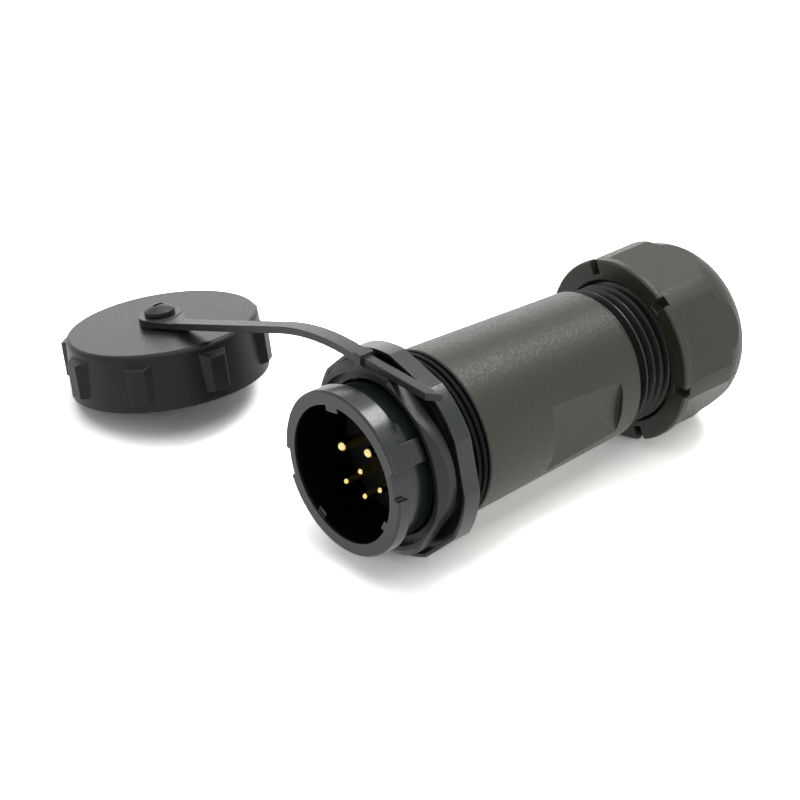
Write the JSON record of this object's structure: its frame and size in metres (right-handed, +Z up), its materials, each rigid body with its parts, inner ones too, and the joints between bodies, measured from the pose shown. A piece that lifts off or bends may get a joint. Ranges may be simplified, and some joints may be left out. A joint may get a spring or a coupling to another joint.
{
  "type": "circular connector",
  "caption": "Round cable connector with a twist-lock rim, gold pins, a tapered barrel, a domed cable gland nut and a cap on a strap.",
  "frame": {"origin": "centre of the rim face on the connector axis", "axes": "+Y along the connector axis from the rim face to the cable end, +Z up as the connector lies, the cap on the -X side"},
  "size_m": [0.0836, 0.0708, 0.0294],
  "materials": {
    "shell_plastic": "satin moulded",
    "barrel_plastic": "fine matte texture",
    "cap_plastic": "fine matte texture",
    "insert_plastic": "matte",
    "inner_plastic": "satin moulded",
    "seal_rubber": "matte",
    "pin_gold": "polished plating"
  },
  "bodies": {
    "base": {"front_shell": "shell_plastic", "pin_insert": "insert_plastic", "power_pin_1": "pin_gold", "power_pin_2": "pin_gold", "signal_pin_1": "pin_gold", "signal_pin_2": "pin_gold", "signal_pin_3": "pin_gold", "signal_pin_4": "pin_gold", "insert_ring": "inner_plastic", "wire_grommet": "seal_rubber", "flange_gasket": "seal_rubber", "slip_washer": "inner_plastic", "barrel_seal": "seal_rubber", "barrel": "barrel_plastic"},
    "strap": {"cap_strap": "cap_plastic"},
    "cap": {"cap": "cap_plastic", "cap_gasket": "seal_rubber", "cap_rivet": "cap_plastic"},
    "gland_slide": {"slip_ring": "inner_plastic", "gland_cage": "inner_plastic", "gland_seal": "seal_rubber"},
    "gland_nut": {"gland_nut": "barrel_plastic"}
  },
  "joints": [
    {"name": "strap_swivel", "type": "hinge", "parent": "base", "child": "strap", "pos_m": [0, 0.00665, 0], "axis": [0, 1, 0], "continuous": true},
    {"name": "cap_swivel", "type": "hinge", "parent": "strap", "child": "cap", "pos_m": [-0.05431, 0.01077, -0.0023], "axis": [-0.2049, 0.0021, 0.9788], "continuous": true},
    {"name": "nut_advance", "type": "slide", "parent": "base", "child": "gland_slide", "axis": [0, 1, 0], "range_m": [-0.0052, 0.0015]},
    {"name": "nut_turn", "type": "hinge", "parent": "gland_slide", "child": "gland_nut", "pos_m": [0, 0.0584, 0], "axis": [0, 1, 0], "range_deg": [-1248, 360]}
  ],
  "couplings": [
    {"joint": "nut_advance", "follows": "nut_turn", "m_per_rad": 0.00023873}
  ]
}
